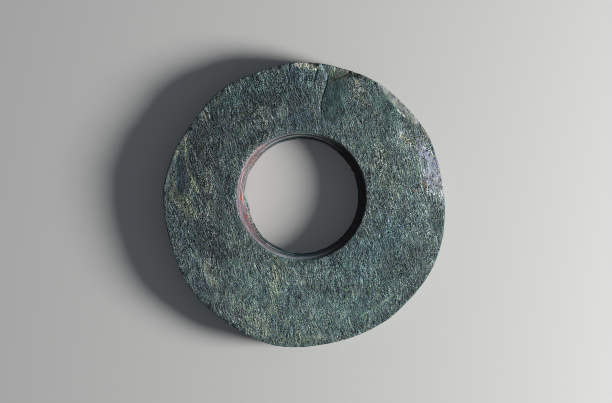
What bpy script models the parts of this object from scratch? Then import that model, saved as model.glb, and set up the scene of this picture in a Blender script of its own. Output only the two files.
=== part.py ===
# Stone bi disc: one flat ring of green stone, ground to a rough circle and bored from its front.
# Metres, +Z up. It lies on its back at z = 0 with the front face up, and the origin is at the
# middle of its footprint. Headings are degrees anticlockwise from +X, seen from the front.
import math

import bmesh
import bpy
from mathutils import Euler, Vector

MM = 0.001

# Driving sizes
OUTER_RADIUS = 65.0 * MM
THICKNESS = 14.0 * MM
BORE_MOUTH_RADIUS = 29.8 * MM
BORE_EXIT_RADIUS = 26.3 * MM
BORE_OFFSET = 4.4 * MM
BORE_OFFSET_HEADING = 110.0
FRONT_ARRIS = 0.7 * MM
BACK_ARRIS = 1.3 * MM
MOUTH_ARRIS = 0.4 * MM
WALL_BELLY = 0.35 * MM
GROOVE_DEPTH = 0.16 * MM
GROOVE_PITCH = 2.0 * MM
LIP_REACH = 1.7 * MM
LIP_HEIGHT = 2.4 * MM

# The rim strays from a true circle, as shares of its radius: flats below zero, shoulders above.
RIM_RUNOUT = (
    (0, -0.010), (12, -0.015), (29, 0.001), (47, -0.003), (60, 0.007), (74, 0.001), (91, 0.010),
    (110, -0.004), (126, 0.005), (143, -0.016), (154, -0.008), (174, 0.004), (196, -0.015),
    (215, 0.002), (236, -0.003), (259, 0.014), (276, -0.005), (290, -0.007), (306, -0.001),
    (317, -0.003), (337, 0.007),
)

# How far the front arris is worn back, as shares of FRONT_ARRIS. It is widest at the upper right.
ARRIS_WEAR = (
    (0, 2.0), (22, 2.2), (36, 2.2), (43, 3.0), (54, 3.0), (61, 1.4), (84, 1.0), (120, 0.7),
    (150, 1.2), (175, 1.5), (205, 0.9), (240, 0.8), (285, 0.7), (320, 0.9), (345, 1.3),
)

# The core snapped out of the last of the bore and left a lip, as shares of LIP_REACH.
LIP_SHAPE = (
    (0, 0.0), (100, 0.0), (118, -0.2), (138, 0.0), (150, 0.0), (158, -0.25), (168, 0.1),
    (179, 0.4), (188, 1.0), (205, 0.75), (219, 0.5), (230, 0.25), (246, 0.33), (258, 0.0),
    (280, 0.0), (330, -0.1),
)

# Flake scars, each a shallow spoon. inset is from the rim to the scar's middle, axis is where its
# length points, and lean tips it about that length, so that one edge is a step and one fades.
FRONT_FLAKES = {
    "long_flake": dict(heading=75.5, inset=13.0 * MM, axis=73, length=28.0 * MM,
                       width=11.5 * MM, depth=0.75 * MM, lean=4.0),
    "rim_bruise": dict(heading=89.0, inset=0.8 * MM, axis=176, length=11.0 * MM,
                       width=5.5 * MM, depth=1.1 * MM, lean=0.0),
    "corner_chip": dict(heading=73.0, inset=1.2 * MM, axis=160, length=15.0 * MM,
                        width=8.0 * MM, depth=1.2 * MM, lean=0.0),
    "smooth_spall": dict(heading=49.0, inset=6.0 * MM, axis=136, length=19.0 * MM,
                         width=11.0 * MM, depth=0.4 * MM, lean=0.0),
    "left_flake": dict(heading=165.5, inset=6.8 * MM, axis=94, length=27.0 * MM,
                       width=7.0 * MM, depth=0.5 * MM, lean=-2.0),
    "lower_nick": dict(heading=209.5, inset=8.5 * MM, axis=122, length=10.5 * MM,
                       width=4.0 * MM, depth=0.4 * MM, lean=2.0),
}
BACK_FLAKES = {
    "back_chip_left": dict(heading=158.0, inset=1.5 * MM, axis=70, length=17.0 * MM,
                           width=9.0 * MM, depth=1.4 * MM, lean=0.0),
    "back_chip_right": dict(heading=318.0, inset=1.0 * MM, axis=45, length=12.0 * MM,
                            width=7.0 * MM, depth=1.2 * MM, lean=0.0),
}
MOUTH_NICK = dict(heading=134.0, length=4.5 * MM, width=2.4 * MM, depth=0.8 * MM)

# The right-hand margin is rubbed down to a slope that drops away to the rim.
MARGIN_HEADING = 20.0
MARGIN_WIDTH = 6.5 * MM
MARGIN_SLOPE = 7.0

RIM_STEPS = 144
BORE_STEPS = 96
ARRIS_SEGMENTS = 3
SPOON_STEPS = 28
SPOON_RINGS = 14
SPOON_BOWL = 2.0  # a spoon's own half height, in depths of the scar that it leaves
OVERRUN = 4.0 * MM  # how far a cutter runs on past the stone
MERGE = 0.01 * MM
CAP_ANGLE = 0.1  # faces flatter than this to each other, in degrees, are one
SHARP_ANGLE = 30.0

STONE_COLOUR = (0.085, 0.115, 0.108, 1.0)
STONE_ROUGHNESS = 0.5


def around(stations, heading):
    """The value at a heading, on a smooth closed curve through the stations."""
    turns = [(h + 360 * turn, value) for turn in (-1, 0, 1) for h, value in stations]
    at = max(n for n, (h, _) in enumerate(turns) if h <= heading % 360)
    (h0, v0), (h1, v1), (h2, v2), (h3, v3) = turns[at - 1:at + 3]
    t = (heading % 360 - h1) / (h2 - h1)
    leaving = (v2 - v0) / (h2 - h0) * (h2 - h1)
    arriving = (v3 - v1) / (h3 - h1) * (h2 - h1)
    return (
        (2 * t**3 - 3 * t**2 + 1) * v1 + (t**3 - 2 * t**2 + t) * leaving
        + (3 * t**2 - 2 * t**3) * v2 + (t**3 - t**2) * arriving
    )


def direction(heading):
    return Vector((math.cos(math.radians(heading)), math.sin(math.radians(heading)), 0))


def heading_of(point):
    return math.degrees(math.atan2(point.y, point.x))


def rim_radius(heading):
    return OUTER_RADIUS * (1 + around(RIM_RUNOUT, heading))


def true_centre():
    """Where the rim's true circle has its centre, once the footprint's middle is the origin."""
    points = [direction(h) * rim_radius(h) for h in range(360)]
    middle = [(min(p[i] for p in points) + max(p[i] for p in points)) / 2 for i in (0, 1)]
    return Vector((-middle[0], -middle[1], 0))


def bore_centre():
    return true_centre() + direction(BORE_OFFSET_HEADING) * BORE_OFFSET


def collection(name):
    made = bpy.data.collections.new(name)
    bpy.context.scene.collection.children.link(made)
    return made


def linked(name, mesh, into):
    made = bpy.data.objects.new(name, mesh)
    into.objects.link(made)
    return made


def as_mesh(obj, into):
    """Swaps a curve or a turned profile for the mesh that it makes, with its seams welded."""
    bpy.context.view_layer.update()
    graph = bpy.context.evaluated_depsgraph_get()
    mesh = bpy.data.meshes.new_from_object(obj.evaluated_get(graph))
    name, place = obj.name, obj.matrix_world.copy()
    bpy.data.objects.remove(obj)
    made = linked(name, mesh, into)
    made.matrix_world = place
    shape = bmesh.new()
    shape.from_mesh(mesh)
    bmesh.ops.remove_doubles(shape, verts=shape.verts, dist=MERGE)
    bmesh.ops.recalc_face_normals(shape, faces=shape.faces)
    shape.to_mesh(mesh)
    shape.free()
    return made


def rim_slab(into):
    """The blank: the rim's outline, extruded to the thickness."""
    curve = bpy.data.curves.new("stone_bi_disc", "CURVE")
    curve.dimensions = "2D"
    curve.fill_mode = "BOTH"
    curve.extrude = THICKNESS / 2
    spline = curve.splines.new("POLY")
    spline.points.add(RIM_STEPS - 1)
    spline.use_cyclic_u = True
    for step, point in enumerate(spline.points):
        heading = step * 360 / RIM_STEPS
        point.co = (*(direction(heading) * (rim_radius(heading) - WALL_BELLY)), 1)
    obj = linked("stone_bi_disc", curve, into)
    obj.location = true_centre() + Vector((0, 0, THICKNESS / 2))
    return as_mesh(obj, into)


def round_the_wall(slab):
    """Bellies the rim's wall, and marks how far each stretch of its two arrises is worn."""
    shape = bmesh.new()
    shape.from_mesh(slab.data)
    bmesh.ops.dissolve_limit(shape, angle_limit=math.radians(CAP_ANGLE), edges=shape.edges)
    upright = [e for e in shape.edges if abs(e.verts[0].co.z - e.verts[1].co.z) > THICKNESS / 2]
    halved = bmesh.ops.subdivide_edges(shape, edges=upright, cuts=1)
    for vert in halved["geom_inner"]:
        if isinstance(vert, bmesh.types.BMVert):
            vert.co += vert.co.normalized() * WALL_BELLY
    widest = max(FRONT_ARRIS * max(wear for _, wear in ARRIS_WEAR), BACK_ARRIS)
    weight = shape.edges.layers.float.new("bevel_weight_edge")
    for edge in shape.edges:
        middle = (edge.verts[0].co + edge.verts[1].co) / 2
        if middle.z > THICKNESS / 3:
            edge[weight] = FRONT_ARRIS * around(ARRIS_WEAR, heading_of(middle)) / widest
        elif middle.z < -THICKNESS / 3:
            edge[weight] = BACK_ARRIS / widest
    shape.to_mesh(slab.data)
    shape.free()
    bevel = slab.modifiers.new("worn arrises", "BEVEL")
    bevel.limit_method = "WEIGHT"
    bevel.width = widest
    bevel.segments = ARRIS_SEGMENTS


def wall_radius(z):
    """The bore tapers evenly from just under its mouth to its exit."""
    share = z / (THICKNESS - MOUTH_ARRIS)
    return BORE_EXIT_RADIUS + (BORE_MOUTH_RADIUS - MOUTH_ARRIS - BORE_EXIT_RADIUS) * share


def bore_profile():
    """Radius and height down the bore's wall, with a shallow drill groove at every pitch."""
    top = THICKNESS + OVERRUN
    foot = THICKNESS - MOUTH_ARRIS
    points = [(0, top), (BORE_MOUTH_RADIUS + OVERRUN, top), (BORE_MOUTH_RADIUS, THICKNESS)]
    points.append((wall_radius(foot), foot))
    grooves = int((foot - LIP_HEIGHT) / GROOVE_PITCH)
    for n in range(grooves):
        crest = foot - (n + 0.5) * GROOVE_PITCH
        trough = crest - GROOVE_PITCH / 2
        points += [(wall_radius(crest), crest), (wall_radius(trough) + GROOVE_DEPTH, trough)]
    points += [(wall_radius(z), z) for z in (LIP_HEIGHT, LIP_HEIGHT / 2, 0)]
    points += [(wall_radius(0), -OVERRUN), (0, -OVERRUN)]
    return points


def bore_cutter(into):
    """The bore as a turned cutter, drawn in at its foot where the snapped core left a lip."""
    profile = bore_profile()
    mesh = bpy.data.meshes.new("bore_cutter")
    rows = [(n, n + 1) for n in range(len(profile) - 1)]
    mesh.from_pydata([(radius, 0, z) for radius, z in profile], rows, [])
    obj = linked("bore_cutter", mesh, into)
    turned = obj.modifiers.new("turned", "SCREW")
    turned.steps = turned.render_steps = BORE_STEPS
    turned.use_merge_vertices = True
    turned.merge_threshold = MERGE
    cutter = as_mesh(obj, into)
    for vert in cutter.data.vertices:
        reach = Vector((vert.co.x, vert.co.y, 0))
        low = min(1, max(0, 1 - vert.co.z / LIP_HEIGHT)) ** 2
        if reach.length > MERGE:
            inward = LIP_REACH * around(LIP_SHAPE, heading_of(reach)) * low
            vert.co -= reach.normalized() * inward
    cutter.location = bore_centre()
    return cutter


def spoon(name, place, up, into, axis, length, width, depth, lean):
    """A cutter that leaves a shallow oval scar, of that length and width, in the face at place."""
    shape = bmesh.new()
    bmesh.ops.create_uvsphere(shape, u_segments=SPOON_STEPS, v_segments=SPOON_RINGS, radius=1)
    bowl = SPOON_BOWL * depth
    spread = 2 * math.sqrt(1 - (1 - depth / bowl) ** 2)
    bmesh.ops.scale(shape, vec=(length / spread, width / spread, bowl), verts=shape.verts)
    mesh = bpy.data.meshes.new(name)
    shape.to_mesh(mesh)
    shape.free()
    obj = linked(name, mesh, into)
    obj.rotation_euler = Euler((math.radians(lean), 0, math.radians(axis)), "XYZ")
    obj.location = place + Vector((0, 0, up * (bowl - depth)))
    return obj


def flake_cutters(flakes, height, up, into):
    for name, flake in flakes.items():
        sizes = dict(flake)
        heading = sizes.pop("heading")
        reach = rim_radius(heading) - sizes.pop("inset")
        place = true_centre() + direction(heading) * reach + Vector((0, 0, height))
        yield spoon(name, place, up, into, **sizes)


def mouth_nick_cutter(into):
    sizes = dict(MOUTH_NICK)
    heading = sizes.pop("heading")
    place = bore_centre() + direction(heading) * BORE_MOUTH_RADIUS + Vector((0, 0, THICKNESS))
    return spoon("mouth_nick", place, 1, into, axis=heading + 90, lean=0, **sizes)


def margin_cutter(into):
    """A block whose tilted underside rubs the right-hand margin down towards the rim."""
    shape = bmesh.new()
    bmesh.ops.create_cube(shape, size=1)
    bmesh.ops.translate(shape, vec=(0, 0, 0.5), verts=shape.verts)
    block = (4 * MARGIN_WIDTH, 2 * OUTER_RADIUS, THICKNESS)
    bmesh.ops.scale(shape, vec=block, verts=shape.verts)
    mesh = bpy.data.meshes.new("margin_cutter")
    shape.to_mesh(mesh)
    shape.free()
    obj = linked("margin_cutter", mesh, into)
    obj.rotation_euler = Euler((0, math.radians(MARGIN_SLOPE), math.radians(MARGIN_HEADING)), "XYZ")
    hinge = rim_radius(MARGIN_HEADING) - MARGIN_WIDTH
    obj.location = true_centre() + direction(MARGIN_HEADING) * hinge + Vector((0, 0, THICKNESS))
    return obj


def stone():
    material = bpy.data.materials.new("green_stone")
    material.diffuse_color = STONE_COLOUR
    material.use_nodes = True
    shader = material.node_tree.nodes["Principled BSDF"]
    shader.inputs["Base Color"].default_value = STONE_COLOUR
    shader.inputs["Roughness"].default_value = STONE_ROUGHNESS
    shader.inputs["Metallic"].default_value = 0.0
    return material


def main():
    for obj in list(bpy.data.objects):
        bpy.data.objects.remove(obj)
    parts = collection("stone_bi_disc")
    cutters = collection("cutters")
    disc = rim_slab(parts)
    round_the_wall(disc)
    cuts = [bore_cutter(cutters), margin_cutter(cutters), mouth_nick_cutter(cutters)]
    cuts += flake_cutters(FRONT_FLAKES, THICKNESS, 1, cutters)
    cuts += flake_cutters(BACK_FLAKES, 0, -1, cutters)
    for cutter in cuts:
        cutter.hide_render = True
        cutter.display_type = "WIRE"
        cut = disc.modifiers.new(cutter.name, "BOOLEAN")
        cut.operation = "DIFFERENCE"
        cut.solver = "EXACT"
        cut.object = cutter
    disc.data.materials.append(stone())
    disc.data.shade_smooth()
    disc.data.set_sharp_from_angle(angle=math.radians(SHARP_ANGLE))


main()
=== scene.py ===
import math

import bpy
import numpy as np
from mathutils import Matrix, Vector, noise
from mathutils.bvhtree import BVHTree


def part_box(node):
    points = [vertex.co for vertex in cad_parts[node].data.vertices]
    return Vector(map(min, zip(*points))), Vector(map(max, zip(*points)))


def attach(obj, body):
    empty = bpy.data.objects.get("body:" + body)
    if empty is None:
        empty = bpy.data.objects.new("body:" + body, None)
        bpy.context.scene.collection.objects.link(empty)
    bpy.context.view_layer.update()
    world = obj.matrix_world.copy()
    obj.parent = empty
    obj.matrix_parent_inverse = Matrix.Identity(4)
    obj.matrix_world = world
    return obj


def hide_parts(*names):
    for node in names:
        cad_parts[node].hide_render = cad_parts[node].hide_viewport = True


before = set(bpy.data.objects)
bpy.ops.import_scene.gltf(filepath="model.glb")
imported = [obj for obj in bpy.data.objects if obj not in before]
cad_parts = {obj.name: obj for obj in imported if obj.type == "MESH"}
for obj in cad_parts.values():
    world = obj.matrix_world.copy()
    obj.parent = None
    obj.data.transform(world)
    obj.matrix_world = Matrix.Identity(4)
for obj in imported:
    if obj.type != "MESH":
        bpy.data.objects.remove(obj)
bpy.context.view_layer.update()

# Looks of the stone bi disc. Lengths are in millimetres, and headings are degrees anticlockwise
# from +X, seen from the front. A skin is laid over the solid, worn by scars, marks and noise, and
# dressed in two stones: the ground faces, and the drilled wall of the hole.
mm = 0.001
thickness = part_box("stone_bi_disc")[1].z / mm

disc = {
    "rimCentre": (0.34, -0.15),   # middle of the rim's true circle
    "boreCentre": (-1.16, 3.99),
    "headings": 720,
    "crowdedHeading": 90,
    "crowding": 0.5,              # share by which the rows are closer there
    "faceRings": 84,
    "rimRings": 8,
    "backRings": 7,
    "boreRings": 13,
    "cornerRings": 6,
    "cornerCrowding": 1.5,        # power that draws the rays of a corner to its middle
    "inset": 2.0,                 # the rays that find the skin start this deep in the stone
    "reach": 100.0,               # well clear of the rim
    "footHeight": 0.02,           # of the ray that finds the foot of the hole's wall
}

# Noise that wears the skin or spreads a mark: height, size of its features on each axis, octaves
# and seed.
textures = {
    "ragged": (1, (4, 5, 4), 4, 11),       # wandering edges of the marks
    "swell": (0.12, (15, 20, 15), 3, 3),
    "ripple": (0.06, (3, 5, 3), 2, 5),
    "grain": (0.04, (1.1, 2.6, 1.1), 2, 7),
    "ridges": (0.06, (0.8, 10, 0.8), 1, 47),
    "ridgeWander": (0.9, (5, 6, 5), 1, 43),
    "rimFacets": (0.15, (9, 9, 5), 3, 17),
    "chips": (1, (2.2, 2.2, 2.2), 2, 23),
    "brokenLip": (0.35, (1.1, 1.1, 1.1), 2, 41),
    "stops": (0.25, (4, 12, 4), 2, 31),
    "calm": (0.35, (3.5, 12, 3.5), 2, 37),
}

# How the wear is spread over the skin.
wearing = {
    "flat": (0.6, 0.95),          # upright share of the normal over which the face's textures set in
    "calmed": 0.7,                # share of them that a calm place loses
    "ridgeLean": 0.22,            # of the ridges, from straight up the disc
    "ridged": (0.25, 2),          # how strong they are without a mark, and at most
    "chipsFrom": 0.2,             # noise above this chips the arrises
    "chipDepth": 0.9,
    "mouthChips": 0.4,            # share of that at the mouth of the hole
    "calmChips": 1.5,             # how fast calm stops the chips
    "chipFresh": 3,               # how fast the stone of a chip turns lighter, and by how many stops
    "chipStops": 0.4,
}

# The lip at the foot of the hole, where the core snapped out. The solid has it rounder: starts gives
# heading and how far the edge is set back there, so that the lip begins with a step.
lip = {
    "height": 2.4,
    "starts": ((160, 0.0), (172, 0.5), (178.8, 1.05), (180.6, 0.4), (184, 0.1), (190, 0.0)),
    "edge": (26.8, 28.0),         # radius over which the setting back fades on the back
    "broken": ((176, 0.0), (181, 1.0), (215, 1.0), (235, 0.0)),
    "brokenFrom": 0.3,            # share of the lip's height, from its top, over which that sets in
}

# The camera looks straight down on the disc, as the photograph faces it.
view = {
    "place": (0.96, 1.46),
    "height": 900.0,              # above the front face
    "widthShown": 279.5,          # of the front face, from side to side of the picture
    "picture": (612, 403),
}

# Paths below run through pixels of the picture, so that each can be held against the photograph.
# A step scar is a flake whose one long side is a steep riser. It takes the place of the rounder
# hollow in the solid. Its path is the riser's foot, and side is 1 where the flake lies to the right
# of it. opens and closes are the shares of the path over which its depth comes and goes, and crack
# is half the width of the dark line along the foot. lip is a painted highlight on the riser, and
# foot the painted shade of that line; in the long flake foot also digs it.
stepScars = {
    "longFlake": dict(
        path=((327.8, 73), (325.8, 84), (322.4, 94.8), (320.5, 105.4), (320.6, 113), (321.5, 123)),
        side=1, depth=0.34, reach=10.0, riser=0.6, crack=0.25, opens=0.08, closes=0.42,
        hollow=dict(heading=75.5, inset=13.0, axis=73, length=28.0, width=11.5),
        floor=dict(stops=-0.2, calm=0.5, redder=-0.06, bluer=-0.06), lip=dict(stops=0.2),
        foot=dict(stops=-3.5, dig=0.22)),
    "leftFlake": dict(
        path=((184.2, 148), (184.8, 160), (186.8, 168.5), (189, 176), (188, 184), (185.5, 192), (185, 199)),
        side=-1, depth=0.25, reach=5.5, riser=1.3, crack=0.5, opens=0.2, closes=0.1,
        hollow=dict(heading=165.5, inset=6.8, axis=94, length=27.0, width=7.0),
        floor=dict(stops=-0.9, calm=0.6, redder=-0.08, bluer=0.08), lip=dict(stops=0.3),
        foot=dict(stops=-0.5)),
    "lowerNick": dict(
        path=((190.5, 253), (194.5, 261), (198.5, 270), (200, 277)),
        side=-1, depth=0.35, reach=3.4, riser=1.0, crack=0.5, opens=0.3, closes=0.3,
        hollow=dict(heading=209.5, inset=8.5, axis=122, length=10.5, width=4.0),
        floor=dict(stops=0.2, calm=0.2), lip=dict(stops=0.5, calm=0.3), foot=dict(stops=-0.8)),
}

# What all step scars share, in millimetres or as shares.
stepShape = {
    "ragged": 0.35,               # of the noise that lets a riser's foot wander
    "climbFrom": -0.3,            # share of the reach from which the flake's floor climbs
    "hollowEdge": (1.3, 1.7),     # where the swap for the solid's hollow ends, as shares of that
    "rimGuard": (2.0, 4.0),       # and how far from the rim it does
    "lip": (0.7, 0.4),            # painted highlight on the riser: up to this share of it, and from here
    "floor": (0.5, 0.7),          # the floor's effects start here and fade from this share on
    "floorCloses": 0.92,
    "crackOff": 0.15,             # how far the painted shade line lies from the foot
}


# A mark on the stone: its path, the width across it in millimetres, the share of that which fades,
# how far its edge wanders, and its effects. stops is how much lighter it makes the stone, hue how
# much redder and bluer, as shares of the green. calm quietens the grain, ridged strengthens its
# ridges, and dig is a depth.
def mark(path, width, soft=1.0, ragged=2.0, hue=(0, 0), **effects):
    effects["redder"], effects["bluer"] = hue
    return {"path": path, "width": width, "soft": soft, "ragged": ragged, "effects": effects}


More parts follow.
